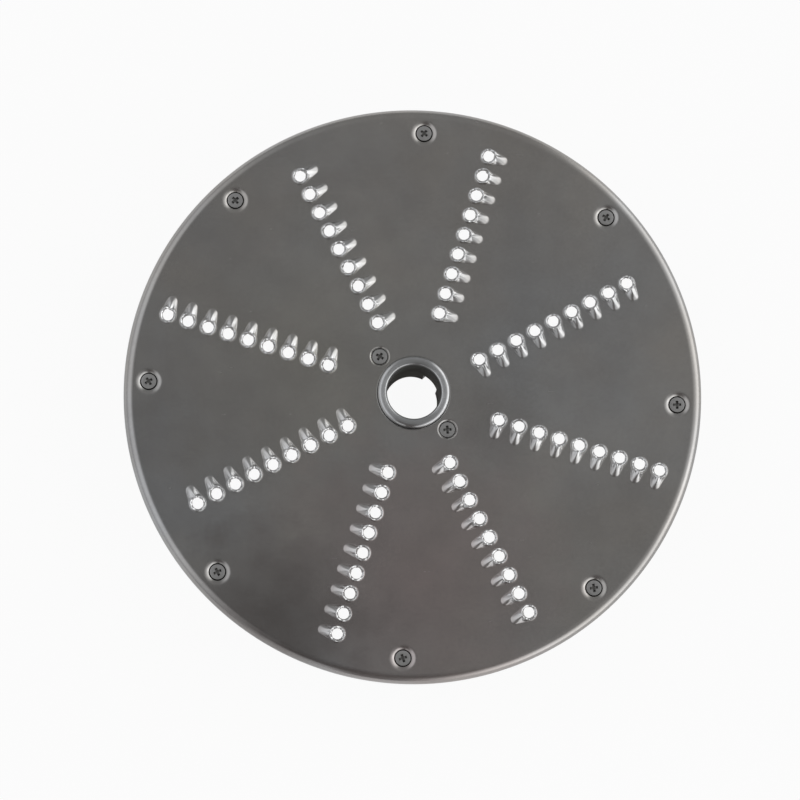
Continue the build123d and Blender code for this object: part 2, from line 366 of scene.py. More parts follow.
def teardrop(front_r, tip_r, reach):
    """Points of a teardrop with its tail along X, anticlockwise from the end of one flank."""
    side = flank_angle(front_r, tip_r, reach)
    tip_x = reach - tip_r
    front = [Vector((front_r * cos(a), front_r * sin(a), 0)) for a in spread(side, 2 * pi - side, FRONT_STEPS)]
    tip = [Vector((tip_x + tip_r * cos(a), tip_r * sin(a), 0)) for a in spread(-side, side, TIP_STEPS)]
    one = [front[-1].lerp(tip[0], k) for k in spread(0, 1, FLANK_STEPS)[1:-1]]
    other = [tip[-1].lerp(front[0], k) for k in spread(0, 1, FLANK_STEPS)[1:-1]]
    return front + one + tip + other


def lip_ring(radius, side):
    """Points of a circle that pair with those of a teardrop."""
    turns = spread(side, 2 * pi - side, FRONT_STEPS)
    turns += spread(-side, -side / 2, FLANK_STEPS)[1:-1]
    turns += spread(-side / 2, side / 2, TIP_STEPS)
    turns += spread(side / 2, side, FLANK_STEPS)[1:-1]
    return [Vector((radius * cos(a), radius * sin(a), 0)) for a in turns]


def smooth_step(low, high, value):
    """Share from nought to one that rises softly between two values."""
    k = min(max((value - low) / (high - low), 0.0), 1.0)
    return k * k * (3 - 2 * k)


class Tooth:
    """One tooth on the face at z = 0, with X along its tail."""

    def __init__(self, plate):
        self.plate = plate
        self.hole_r = plate.hole_d / 2
        self.lip_r = self.hole_r + plate.lip_land
        self.hood_r = self.lip_r + plate.lip_flare
        self.side = flank_angle(self.hood_r, plate.tail_tip_r, plate.tail)
        self.slope = (plate.edge_height - plate.lip_front) / (2 * self.lip_r)
        self.middle = (plate.edge_height + plate.lip_front) / 2

    def lip_z(self, x):
        """Height of the lip at a place along the tail."""
        return self.middle + x * self.slope

    def half_width(self, x):
        """Half the width of the hood's foot at a place along the tail."""
        plate = self.plate
        tip_x = plate.tail - plate.tail_tip_r
        x_front = self.hood_r * cos(self.side)
        x_tip = tip_x + plate.tail_tip_r * cos(self.side)
        if x <= x_front:
            return sqrt(max(self.hood_r ** 2 - x * x, 0))
        if x >= x_tip:
            return sqrt(max(plate.tail_tip_r ** 2 - (x - tip_x) ** 2, 0))
        k = (x - x_front) / (x_tip - x_front)
        return sin(self.side) * (self.hood_r + (plate.tail_tip_r - self.hood_r) * k)

    def crest(self, x):
        """Height of the hood along its middle, which falls a little faster towards the tip."""
        if x <= self.lip_r:
            return self.lip_z(x)
        run = min((x - self.lip_r) / (self.plate.tail - self.lip_r), 1)
        return self.plate.edge_height * (1 - run ** CREST_FALL)

    def hood_z(self, point, lip, k):
        """Height of the hood at a share k of the way from its foot to the lip."""
        front = self.lip_z(lip.x) * (1 - (1 - k) ** FRONT_SWELL)
        inner = sqrt(max(self.lip_r ** 2 - point.x ** 2, 0))
        outer = max(self.half_width(point.x), inner + 1e-6)
        across = min(max((abs(point.y) - inner) / (outer - inner), 0), 1)
        roof = 1 - (sqrt(across ** 2 + RIDGE ** 2) - RIDGE) / (sqrt(1 + RIDGE ** 2) - RIDGE)
        dome = (1 - across ** 2) ** TIP_DOME
        tail = self.crest(point.x) * (roof + (dome - roof) * smooth_step(*TAIL_DOME, point.x))
        share = smooth_step(*TAIL_START, point.x)
        z = front + (tail - front) * share
        eased = sqrt(z * z + FOOT_EASE * FOOT_EASE) - FOOT_EASE
        return eased + (z - eased) * k * k

    def burr(self, point, seed, layer):
        """Torn unevenness of the lip, different on every tooth."""
        way = point.normalized()
        waves = [share * noise(Vector((way.x * lumps, way.y * lumps, seed * tooth_step + layer * layer_step + start)))
                 for lumps, tooth_step, layer_step, start, share in BURR_WAVES]
        return self.plate.burr * sum(waves)

    def rings(self, seed):
        """Rings from the face over the hood and the lip, down the hole and out to the back of the sheet."""
        plate = self.plate
        foot = teardrop(self.hood_r, plate.tail_tip_r, plate.tail)
        lip = lip_ring(self.lip_r, self.side)
        crest = [self.burr(point, seed, 0) for point in lip]
        inside = [self.burr(point, seed, 1) for point in lip]
        collar = 0.3 * MM
        rings = [teardrop(self.hood_r + collar, plate.tail_tip_r + collar, plate.tail + collar)]
        for k in HOOD_SHARES:
            points = [a.lerp(b, k) for a, b in zip(foot, lip)]
            rings.append([Vector((p.x, p.y, self.hood_z(p, b, k) + rise * k ** 3))
                          for p, b, rise in zip(points, lip, crest)])
        for inward, drop in LIP_SECTION:
            radius = self.lip_r - inward * plate.lip_land
            bump = [a + (b - a) * inward for a, b in zip(crest, inside)]
            circle = [p * (1 + 0.2 * inward * rise / radius) for p, rise in zip(lip_ring(radius, self.side), bump)]
            rings.append([Vector((p.x, p.y, self.lip_z(p.x) - drop * MM + rise)) for p, rise in zip(circle, bump)])
        mouth = teardrop(self.hole_r + plate.scoop_flare, plate.scoop_tip_r, plate.scoop)
        edge = rings[-1]
        back = -plate.sheet
        low = [Vector((p.x, p.y, back + 0.1 * MM)) for p in mouth]
        for k in THROAT_SHARES:
            rings.append([a.lerp(b, k) for a, b in zip(edge, low)])
        for grow, lift in SCOOP_EDGE:
            wide = teardrop(self.hole_r + plate.scoop_flare + grow * MM, plate.scoop_tip_r + grow * MM,
                            plate.scoop + grow * MM)
            rings.append([Vector((p.x, p.y, back + lift * MM)) for p in wide])
        return rings


def tooth_places(plate):
    """Place of every tooth, with X along the tail, which trails clockwise seen from above."""
    places = []
    for row in range(plate.rows):
        about = Matrix.Rotation(plate.row_angle + 2 * pi * row / plate.rows, 4, "Z")
        start = plate.first_r + STAGGER[row % len(STAGGER)] * plate.pitch / len(STAGGER)
        for tooth in range(plate.teeth):
            spot = Matrix.Translation((start + tooth * plate.pitch, -plate.row_offset, plate.face_z))
            places.append(about @ spot @ Matrix.Rotation(-pi / 2, 4, "Z"))
    return places


def rim_angles(plate):
    """Angles of the rim screws round the axis."""
    return [plate.row_angle + plate.seat_lead + 2 * pi * i / plate.rows for i in range(plate.rows)]


def hub_angles(plate):
    """Angles of the hub screws round the axis."""
    first = plate.row_angle + plate.seat_lead + pi / 2
    return [first, first + pi]


def seat_place(angle, radius, z):
    """Place at an angle, a radius and a height, with X pointing away from the axis."""
    return Matrix.Rotation(angle, 4, "Z") @ Matrix.Translation((radius, 0, z))


def dimple_profile(plate):
    """(radius, height) of a dimple from the face round it, through its hole, to the back of the sheet."""
    wide = plate.dimple_d / 2
    hole = plate.dimple_hole_d / 2
    rise = tan(plate.dimple_slope)
    seat = -(wide - hole) * rise
    moat = plate.moat_d / 2
    brim = wide + 0.3 * MM
    step = -(wide - moat) * rise
    back_wide = wide + plate.sheet * tan(plate.dimple_slope / 2)
    back = -plate.sheet
    back_seat = back - (back_wide - hole) * rise
    slope = [(brim + (moat + 0.05 * MM - brim) * k, step * k ** 2.4) for k in spread(0, 1, 10)]
    return [
        (wide + 0.45 * MM, 0), *slope, (moat, step - 0.06 * MM), (hole + 0.04 * MM, seat - 0.42 * MM),
        (hole, seat - 0.48 * MM), (hole, back_seat + 0.06 * MM),
        (hole + 0.05 * MM, back_seat + 0.02 * MM), ((back_wide + hole) / 2, (back + back_seat) / 2),
        (back_wide - 0.25 * MM, back - 0.14 * MM), (back_wide + 0.05 * MM, back - 0.02 * MM),
        (back_wide + 0.2 * MM, back),
    ]


def countersink_profile(plate):
    """(radius, height) of a hub screw's seat through the sheet."""
    wide = plate.countersink_d / 2
    back = -plate.sheet
    moat = wide - 0.55 * MM
    brim = [(wide + 0.16 * MM - 0.34 * MM * sin(a), 0.34 * MM * (cos(a) - 1)) for a in spread(0, radians(50), 5)]
    return [
        (wide + 0.5 * MM, 0), *brim, (moat + 0.04 * MM, -0.42 * MM), (moat, -0.5 * MM),
        (moat - 0.03 * MM, back + 0.05 * MM), (moat - 0.03 * MM, back), (wide, back),
    ]


def rim_profile(plate):
    """(radius, height) of the turned-down edge from the face to the back of the sheet."""
    edge_r = plate.diameter / 2
    centre_r = edge_r - plate.bend_r
    centre_z = plate.face_z - plate.bend_r
    inner = plate.bend_r - plate.sheet
    low = plate.face_z - plate.rim_depth
    outer = plate.bend_r
    outer_bend = [(centre_r + outer * sin(a), centre_z + outer * cos(a)) for a in spread(0, pi / 2, 12)]
    inner_bend = [(centre_r + inner * sin(a), centre_z + inner * cos(a)) for a in spread(pi / 2, 0, 8)]
    ease = 0.15 * MM
    return [
        (centre_r - 0.2 * MM, plate.face_z), *outer_bend, (edge_r, low + 2 * ease),
        (edge_r - 0.3 * ease, low + 0.3 * ease), (edge_r - ease, low),
        (edge_r - plate.sheet + ease, low), (edge_r - plate.sheet, low + ease),
        *inner_bend, (centre_r - 0.2 * MM, plate.face_z - plate.sheet),
    ]


def centre_profile(plate):
    """(radius, height) of the hole round the collar."""
    hole = plate.centre_d / 2
    back = -plate.sheet
    return [(hole + 0.5 * MM, 0), (hole + 0.1 * MM, 0), (hole, -0.1 * MM), (hole, back + 0.1 * MM),
            (hole + 0.1 * MM, back), (hole + 0.5 * MM, back)]


def plate_mesh(plate):
    """Whole sheet: teeth, seats, centre hole, turned-down edge and the flat faces between them."""
    skin = Skin()
    front = []
    rear = []

    def add(rings, place, worn=()):
        first, last = skin.stack(rings, place, worn)
        front.append(first)
        rear.append(last)

    tooth = Tooth(plate)
    for seed, place in enumerate(tooth_places(plate)):
        add(tooth.rings(seed), place, HOOD_WEAR)
    for angle in rim_angles(plate):
        add(circles(dimple_profile(plate), SEAT_SIDES), seat_place(angle, plate.rim_seat_r, plate.face_z))
    for angle in hub_angles(plate):
        add(circles(countersink_profile(plate), SEAT_SIDES), seat_place(angle, plate.hub_seat_r, plate.face_z))
    add(circles(centre_profile(plate), CENTRE_SIDES), Matrix.Translation((0, 0, plate.face_z)))
    rim = [skin.ring(points) for points in circles(rim_profile(plate), RIM_SIDES)]
    for inner, outer in zip(rim, rim[1:]):
        skin.band(outer, inner)
    skin.flat(rim[0], front, True)
    skin.flat(rim[-1], rear, False)
    return skin.mesh("grating_sheet")


def lathe(profile, count, name):
    """Closed solid of revolution from a (radius, height) outline, taken anticlockwise with Z up."""
    skin = Skin()
    rings = [skin.ring(points) for points in circles(profile, count)]
    for a, b in zip(rings, rings[1:] + rings[:1]):
        skin.band(a, b)
    return skin.mesh(name)


def cut(mesh, cutters, name):
    """Mesh with the shapes of other meshes taken away from it."""
    body = new_object(name, mesh)
    tools = []
    for cutter in cutters:
        tool = new_object("cutter", cutter)
        step = body.modifiers.new("cut", "BOOLEAN")
        step.operation = "DIFFERENCE"
        step.solver = "EXACT"
        step.object = tool
        tools.append(tool)
    bpy.context.view_layer.update()
    result = bpy.data.meshes.new_from_object(body.evaluated_get(bpy.context.evaluated_depsgraph_get()))
    result.name = name
    for leftover in [body] + tools:
        bpy.data.objects.remove(leftover)
    if not result.polygons:
        raise RuntimeError(name + " was cut away")
    return result


def soften(mesh, width):
    """Rounds the edges of a drawn-out outline to a width, and shades it smooth between them."""
    work = bmesh.new()
    work.from_mesh(mesh)
    sharp = [edge for edge in work.edges if edge.calc_face_angle() > ROUNDED]
    bmesh.ops.bevel(work, geom=sharp, offset=width, segments=3, profile=0.5, affect="EDGES", clamp_overlap=True)
    work.to_mesh(mesh)
    work.free()
    crisp(mesh)


def prism(outline, width):
    """Mesh of a flat outline of (x, z) points, taken clockwise, drawn out along Y to a width about the middle."""
    skin = Skin()
    skin.plug([[Vector((x, y, z)) for x, z in outline] for y in (width / 2, -width / 2)])
    return skin.mesh("prism")


def recess_mesh(screw):
    """Cross-shaped cutter that narrows to its bottom, for the head of a screw."""
    skin = Skin()
    half = screw.recess_span / 2
    thick = screw.recess_width / 2
    rings = []
    for share, z in ((1.12, 0.2 * MM), (1.0, 0.0), (0.72, -0.7 * screw.recess_depth), (0.36, -screw.recess_depth)):
        arm = half * share
        wall = thick * (0.55 + 0.45 * share)
        arm = max(arm, wall * 1.05)
        corners = [(arm, -wall), (arm, wall), (wall, wall)]
        points = []
        for quarter in range(4):
            about = Matrix.Rotation(quarter * pi / 2, 4, "Z")
            points += [about @ Vector((x, y, z)) for x, y in corners]
        rings.append(points)
    skin.plug(rings)
    return skin.mesh("recess")


def screw_mesh(screw, name):
    """Countersunk screw with a cross recess, upright on Z with the top of its head at z = 0."""
    head = screw.head_d / 2
    shank = screw.shank_d / 2
    neck = shank - head
    low = -screw.total
    skin = Skin()
    profile = [
        (head * 0.2, 0), (head * 0.6, 0), (head - 0.16 * MM, 0), (head - 0.06 * MM, -0.02 * MM),
        (head - 0.02 * MM, -0.07 * MM), (shank + 0.1 * MM, neck + 0.1 * MM), (shank, neck - 0.1 * MM),
        (shank, low + 0.35 * MM), (shank - 0.35 * MM, low),
    ]
    skin.plug(circles(profile, SEAT_SIDES))
    return crisp(cut(skin.mesh(name), [recess_mesh(screw)], name), radians(35))


def hub_drill(plate, screw, angle):
    """Cutter for the hole and the seat of a hub screw in the flange."""
    hole = screw.shank_d / 2 + SHANK_GAP
    head = plate.countersink_d / 2 - 0.6 * MM
    back = plate.face_z - plate.sheet
    low = plate.face_z - screw.hub_depth - screw.total - MM
    drill = lathe([
        (PINHOLE, low), (hole, low), (hole, back + hole - head),
        (head, back), (head, back + MM), (PINHOLE, back + MM),
    ], DRILL_SIDES, "hub_drill")
    drill.transform(seat_place(angle, plate.hub_seat_r, 0))
    return drill


def hub_mesh(carrier, plate, screw):
    """Turned centre of the casting with its bore, collar, flange and drive slot."""
    bore = carrier.bore_d / 2
    collar = carrier.collar_d / 2
    rear = carrier.rear_d / 2
    flange = carrier.flange_d / 2
    top = plate.face_z + carrier.collar_height
    back = plate.face_z - plate.sheet
    low = back - carrier.flange
    cone = low - carrier.flange_cone
    barrel = rear + carrier.draft
    soft = carrier.collar_round
    edge = [(collar - soft + soft * cos(a), top - soft + soft * sin(a)) for a in spread(0, pi / 2, 8)]
    mouth = carrier.bore_chamfer
    ease = 0.4 * MM
    outline = [
        (bore, ease), (bore + ease, 0), (rear - ease, 0), (rear - 0.3 * ease, 0.3 * ease), (rear, ease),
        (rear + 0.5 * carrier.draft, 0.5 * cone), (barrel, cone - 2 * ease), (barrel + 0.4 * ease, cone),
        (barrel + 2 * ease, cone + 1.3 * ease), (flange - 2 * ease, low - 1.3 * ease), (flange, low + ease),
        (flange, back - ease), (flange - ease, back), (collar + 0.3 * ease, back), (collar, back + ease),
        (collar, plate.face_z + 0.6 * MM), *edge, (bore + mouth + 0.12 * MM, top),
        (bore + mouth - 0.03 * MM, top - 0.05 * MM), (bore + 0.05 * MM, top - mouth + 0.03 * MM),
        (bore, top - mouth - 0.1 * MM), (bore, plate.face_z - 2 * MM), (bore, carrier.slot_depth + 2 * MM),
        (bore, carrier.slot_depth),
    ]
    blank = lathe(outline, HUB_SIDES, "hub")
    reach = rear + 4 * carrier.draft
    slot = prism([(-reach, -MM), (-reach, carrier.slot_depth), (reach, carrier.slot_depth), (reach, -MM)],
                 carrier.slot_width)
    slot.transform(Matrix.Rotation(rim_angles(plate)[0], 4, "Z"))
    drills = [hub_drill(plate, screw, angle) for angle in hub_angles(plate)]
    return crisp(cut(blank, [slot, *drills], "hub"))


def arm_mesh(carrier, plate, screw):
    """Rib along X from the hub outwards, and the pad at its end with the hole for a rim screw."""
    back = plate.face_z - plate.sheet
    inner = carrier.bore_d / 2 + 2 * MM
    start = plate.rim_seat_r - carrier.pad_width / 2
    corner = plate.bend_r - plate.sheet
    rib = prism([
        (inner, back), (start + MM, back), (start + MM, back - carrier.arm_depth),
        (carrier.gusset_r, back - carrier.arm_depth), (inner, back - carrier.gusset_depth),
    ], carrier.arm_width)
    pad = prism([
        (start, back), (carrier.pad_end - corner, back), (carrier.pad_end, back - corner),
        (carrier.pad_end, back - carrier.pad_depth), (start, back - carrier.pad_depth),
    ], carrier.pad_width)
    soften(rib, carrier.arm_round)
    soften(pad, carrier.pad_round)
    hole_r = screw.shank_d / 2 + SHANK_GAP
    seat_r = plate.dimple_d / 2 + carrier.seat_gap
    seat_low = back - (seat_r - hole_r) * tan(plate.dimple_slope)
    low = back - 2 * carrier.pad_depth
    drill = lathe([
        (PINHOLE, low), (hole_r, low), (hole_r, seat_low), (seat_r, back), (seat_r, back + MM), (PINHOLE, back + MM),
    ], DRILL_SIDES, "drill")
    drill.transform(Matrix.Translation((plate.rim_seat_r, 0, 0)))
    return cut(rib, [hub_drill(plate, screw, 0.0)], "rib"), cut(pad, [drill], "pad")


def carrier_mesh(carrier, plate, screw):
    """Casting in one mesh: the hub and the arms round it."""
    work = bmesh.new()
    work.from_mesh(hub_mesh(carrier, plate, screw))
    for part in arm_mesh(carrier, plate, screw):
        crisp(part)
        for angle in rim_angles(plate):
            copy = part.copy()
            copy.transform(Matrix.Rotation(angle, 4, "Z"))
            work.from_mesh(copy)
    mesh = bpy.data.meshes.new("carrier_casting")
    work.to_mesh(mesh)
    work.free()
    return mesh


class Nodes:
    """Short way to add linked nodes to a material or a world."""

    def __init__(self, owner):
        owner.use_nodes = True
        self.tree = owner.node_tree
        self.tree.nodes.clear()

    def add(self, kind, inputs=None, **settings):
        """Adds a node with its inputs, which are values or other nodes' outputs."""
        node = self.tree.nodes.new("ShaderNode" + kind)
        for key, value in settings.items():
            setattr(node, key, value)
        for key, value in (inputs or {}).items():
            self.set(node, key, value)
        return node

    def set(self, node, key, value):
        if isinstance(value, bpy.types.NodeSocket):
            self.tree.links.new(value, node.inputs[key])
        else:
            node.inputs[key].default_value = (*value, 1.0) if isinstance(value, Color) else value

    def math(self, operation, first, second=0.0):
        return self.add("Math", {0: first, 1: second}, operation=operation).outputs[0]

    def times(self, first, second):
        return self.math("MULTIPLY", first, second)

    def plus(self, first, second):
        return self.math("ADD", first, second)

    def larger(self, first, second):
        return self.math("MAXIMUM", first, second)

    def measure(self, operation, first, second=(0, 0, 0)):
        """Number that says how a vector lies or how long it is."""
        return self.add("VectorMath", {0: first, 1: second}, operation=operation).outputs["Value"]

    def remap(self, value, low, high, to_low=0.0, to_high=1.0):
        """Value that goes straight from one limit to the other, and no further."""
        return self.add("MapRange", {0: value, 1: low, 2: high, 3: to_low, 4: to_high}).outputs[0]

    def noise(self, coords, scale, detail=3.0, roughness=0.55):
        """Cloudy pattern with so many clouds to the metre."""
        node = self.add("TexNoise", {"Vector": coords, "Scale": scale, "Detail": detail, "Roughness": roughness})
        return node.outputs["Fac"]

    def stretched(self, coords, scale, turn_z):
        """Coordinates that are turned about Z and stretched along their axes."""
        node = self.add("Mapping", {"Vector": coords, "Rotation": (0, 0, turn_z), "Scale": scale})
        return node.outputs["Vector"]

    def mix(self, share, first, second):
        """Colour between two others."""
        return self.add("Mix", {0: share, 6: first, 7: second}, data_type="RGBA").outputs[2]

    def bump(self, height, strength, distance, normal=None):
        """Normal of a surface with a height pattern on it."""
        inputs = {"Height": height, "Strength": strength, "Distance": distance}
        if normal is not None:
            inputs["Normal"] = normal
        return self.add("Bump", inputs).outputs["Normal"]

    def surface(self, shader):
        self.add("OutputMaterial", {"Surface": shader})


def new_material(name):
    """Empty material, its nodes and the coordinates of the piece."""
    material = bpy.data.materials.new(name)
    nodes = Nodes(material)
    return material, nodes, nodes.add("TexCoord").outputs["Object"]


def metal(colour, roughness, normal, nodes, bare=1.0, turned=0.0):
    """Metal that is dull where it isn't bare and streaked where it is turned."""
    round_z = nodes.add("Tangent", direction_type="RADIAL", axis="Z").outputs[0]
    shader = nodes.add("BsdfPrincipled", {"Base Color": colour, "Metallic": bare, "Roughness": roughness,
                                          "Normal": normal, "Specular IOR Level": 0.0, "Anisotropic": turned,
                                          "Anisotropic Rotation": 0.25, "Tangent": round_z})
    nodes.surface(shader.outputs[0])


def smudge(nodes, coords, z, mark):
    """Soft round mark on the face at a height, weaker towards its ragged edge."""
    x, y, reach, strength = mark
    ragged = nodes.noise(coords, 70.0, 3.0)
    away = nodes.measure("DISTANCE", coords, (x * MM, y * MM, z))
    uneven = nodes.times(away, nodes.remap(ragged, 0.3, 0.7, 0.75, 1.25))
    return nodes.remap(uneven, 0.0, reach * MM, strength, 0.0)


def sheet_steel(plate):
    """Dull rolled stainless sheet, stained and scratched, with painted shade towards the lower left, bare lips and
    darker edges inside the holes.
    """
    material, nodes, coords = new_material("sheet_steel")
    clouds = nodes.noise(coords, 10.0, 2.0, 0.5)
    blotch = nodes.noise(coords, 36.0, 3.0, 0.5)
    stain = nodes.remap(nodes.plus(nodes.times(clouds, 0.6), nodes.times(blotch, 0.4)), 0.38, 0.62)
    aslant = nodes.stretched(coords, (1.0, 1.0, 1.0), radians(40))
    shade = nodes.remap(nodes.noise(aslant, 23.0, 2.0, 0.5), 0.35, 0.65)
    tone = nodes.mix(stain, plate.cool, plate.warm)
    oily, tarnished, lower_left_shade, rubbed = (smudge(nodes, coords, plate.face_z, mark)
                                        for mark in (OILY, TARNISHED, LOWER_LEFT_SHADE, RUBBED))
    tone = nodes.mix(oily, tone, plate.olive)
    tone = nodes.mix(tarnished, tone, plate.pink)
    # Random darker patches, the rubbed smear and the painted shade towards the lower left, all drawn towards the smudge
    # colour
    smear_and_lower_left_shade = nodes.larger(nodes.times(shade, 0.2), nodes.larger(lower_left_shade, rubbed))
    dust = nodes.remap(nodes.noise(coords, 900.0, 3.0, 0.6), 0.35, 0.65, 0.0, 0.10)
    mottle = nodes.remap(nodes.noise(coords, 95.0, 3.0), 0.35, 0.65, 0.0, 0.12)
    colour = nodes.mix(nodes.plus(nodes.plus(smear_and_lower_left_shade, mottle), dust), tone, plate.dull)
    worn = nodes.add("Attribute", attribute_name="worn").outputs["Fac"]
    colour = nodes.mix(worn, colour, plate.bare)
    # Darker edges inside the holes, where the wear share falls below nought
    colour = nodes.mix(nodes.times(worn, -1.0), colour, plate.hole_edge_dark)
    grain = nodes.noise(coords, 2600.0, 2.0)
    hair = nodes.noise(nodes.stretched(coords, (40.0, 2600.0, 40.0), radians(28)), 1.0, 2.0)
    scuff = nodes.noise(nodes.stretched(coords, (90.0, 1500.0, 90.0), radians(-52)), 1.0, 3.0)
    mark = nodes.remap(scuff, 0.75, 0.80, 0.0, 0.07)
    even = nodes.remap(blotch, 0.3, 0.7, plate.roughness - 0.012, plate.roughness + 0.012)
    roughness = nodes.plus(even, nodes.plus(mark, nodes.times(grain, 0.012)))
    wave = nodes.bump(nodes.noise(coords, 45.0, 2.0), 0.08, 0.6 * MM)
    fine = nodes.bump(nodes.plus(nodes.times(grain, 0.4), nodes.times(hair, 0.6)), 0.04, 0.05 * MM, wave)
    metal(colour, roughness, fine, nodes)
    return material


def cast_aluminium(carrier, plate):
    """Aluminium casting with a grainy skin, fine turning marks on its collar and in its bore, and painted shade on the
    bore's wall.
    """
    material, nodes, coords = new_material("cast_aluminium")
    parts = nodes.add("SeparateXYZ", {"Vector": coords}).outputs
    flat = nodes.add("CombineXYZ", {"X": parts[0], "Y": parts[1]}).outputs[0]
    radius = nodes.measure("LENGTH", flat)
    wall = carrier.bore_d / 2
    in_bore = nodes.remap(radius, wall + 0.2 * MM, wall + 0.5 * MM, 1.0, 0.0)
    on_collar = nodes.remap(parts[2], plate.face_z - 0.6 * MM, plate.face_z - 0.2 * MM)
    turned = nodes.larger(in_bore, on_collar)
    patch = nodes.noise(coords, 120.0, 4.0, 0.6)
    blotchy = nodes.remap(patch, 0.35, 0.7, 0.0, 0.5)
    deep = nodes.remap(parts[2], 30 * MM, 14 * MM)
    cast_colour = nodes.mix(blotchy, carrier.cast, carrier.cast_shade)
    turned_colour = nodes.mix(nodes.remap(patch, 0.4, 0.7, 0.0, 0.35), carrier.turned, carrier.turned_shade)
    # Painted shade on the bore's wall, darkest at its mouth and fading deeper in
    bore_shaded_colour = nodes.mix(blotchy, carrier.bore, carrier.bore_shade)
    bore_shaded_colour = nodes.mix(deep, bore_shaded_colour, carrier.bore_deep)
    colour = nodes.mix(in_bore, nodes.mix(turned, cast_colour, turned_colour), bore_shaded_colour)
    pores = nodes.noise(coords, 1500.0, 4.0, 0.7)
    rough_cast = nodes.remap(pores, 0.3, 0.7, 0.46, 0.6)
    rough_turned = nodes.remap(patch, 0.3, 0.7, carrier.roughness - 0.04, carrier.roughness + 0.06)
    roughness = nodes.add("Mix", {0: turned, 2: rough_cast, 3: rough_turned}).outputs[0]
    groove = nodes.math("SINE", nodes.times(nodes.plus(radius, parts[2]), 2 * pi / (0.22 * MM)))
    uneven = nodes.times(groove, nodes.noise(coords, 300.0, 2.0))
    height = nodes.add("Mix", {0: turned, 2: pores, 3: nodes.times(uneven, 0.12)}).outputs[0]
    normal = nodes.bump(height, 0.35, 0.18 * MM)
    streak = nodes.times(on_collar, 0.85)
    metal(colour, roughness, normal, nodes, nodes.math("SUBTRACT", 1.0, in_bore), streak)
    return material


def screw_steel(screw):
    """Satin screw steel, with traces of turning on the heads and painted shade down in the recesses."""
    material, nodes, coords = new_material("screw_steel")
    patch = nodes.noise(coords, 700.0, 4.0, 0.6)
    steel = nodes.mix(nodes.remap(patch, 0.35, 0.7, 0.0, 0.5), screw.colour, screw.shade)
    height = nodes.add("SeparateXYZ", {"Vector": coords}).outputs[2]
    # Painted shade: darker from just below the top of the head down into the recess, a little weaker at its bottom
    painted_shade = nodes.times(nodes.remap(height, -0.06 * MM, -0.2 * MM), nodes.remap(height, -0.7 * MM, -0.95 * MM, 1.0, 0.8))
    colour = nodes.mix(painted_shade, steel, screw.painted_shade)
    roughness = nodes.remap(patch, 0.3, 0.7, screw.roughness - 0.05, screw.roughness + 0.1)
    normal = nodes.bump(nodes.noise(coords, 3500.0, 2.0), 0.12, 0.06 * MM)
    metal(colour, roughness, normal, nodes)
    return material


def pale_floor(stage):
    """Matt floor that looks white to the eye and in the metal, keeps a soft shadow and is clear from below."""
    material, nodes, coords = new_material("pale_floor")
    speck = nodes.remap(nodes.noise(coords, 9.0, 3.0), 0.3, 0.7)
    tone = nodes.mix(speck, stage.floor, stage.floor_shade)
    matt = nodes.add("BsdfDiffuse", {"Color": tone}).outputs[0]
    glow = nodes.add("Emission", {"Color": (1.0, 1.0, 1.0, 1.0), "Strength": 1.0}).outputs[0]
    path = nodes.add("LightPath").outputs
    direct = nodes.larger(path["Is Camera Ray"], path["Is Transmission Ray"])
    mirrored = nodes.times(path["Is Glossy Ray"], stage.mirrored_white)
    share = nodes.larger(nodes.times(direct, stage.seen_white), mirrored)
    top = nodes.add("MixShader", {0: share, 1: matt, 2: glow}).outputs[0]
    clear = nodes.add("BsdfTransparent").outputs[0]
    below = nodes.add("NewGeometry").outputs["Backfacing"]
    nodes.surface(nodes.add("MixShader", {0: below, 1: top, 2: clear}).outputs[0])
    return material


def light_tent(stage):
    """World of a light tent: a bright right wall, a weaker left one, gaps between them and a dark top."""
    world = bpy.data.worlds.new("light_tent")
    bpy.context.scene.world = world
    nodes = Nodes(world)
    way = nodes.add("SeparateXYZ", {"Vector": nodes.add("TexCoord").outputs["Generated"]}).outputs
    level = nodes.add("CombineXYZ", {"X": way[0], "Y": way[1]}).outputs[0]
    low = nodes.measure("LENGTH", level)
    heading = nodes.add("VectorMath", {0: level}, operation="NORMALIZE").outputs["Vector"]

    def towards(azimuth, start, full):
        """Share of a light about an azimuth, from its start to where it is full, in degrees away."""
        aim = (cos(radians(azimuth)), sin(radians(azimuth)), 0)
        return nodes.remap(nodes.measure("DOT_PRODUCT", heading, aim), cos(radians(start)), cos(radians(full)))

    def below(start, full):
        """Share of a light that comes in low, between two sines of the angle from straight up."""
        return nodes.remap(low, start, full)

    lean = nodes.remap(nodes.plus(way[0], nodes.times(way[1], 0.25)), -0.05, 0.12)
    top = nodes.mix(lean, stage.sky_left, stage.sky_right)
    side = nodes.mix(towards(14, start=48, full=28), stage.far_gap, stage.right_top)
    near = nodes.mix(below(0.80, 0.95), stage.near_gap, stage.near_table)
    side = nodes.mix(towards(262, start=38, full=18), side, near)
    right = nodes.times(towards(-10, start=74, full=50), below(0.64, 0.98))
    side = nodes.mix(right, side, stage.right_wall)
    side = nodes.mix(towards(264, start=12, full=6), side, stage.near_gap)
    colour = nodes.mix(below(0.26, 0.52), top, side)
    left_side = nodes.mix(below(0.84, 0.98), stage.left_wall, stage.left_foot)
    left = nodes.times(towards(173, start=62, full=36), below(0.14, 0.52))
    colour = nodes.mix(left, colour, left_side)
    room = nodes.add("Background", {"Color": colour, "Strength": 1.0}).outputs[0]
    nodes.add("OutputWorld", {"Surface": room})


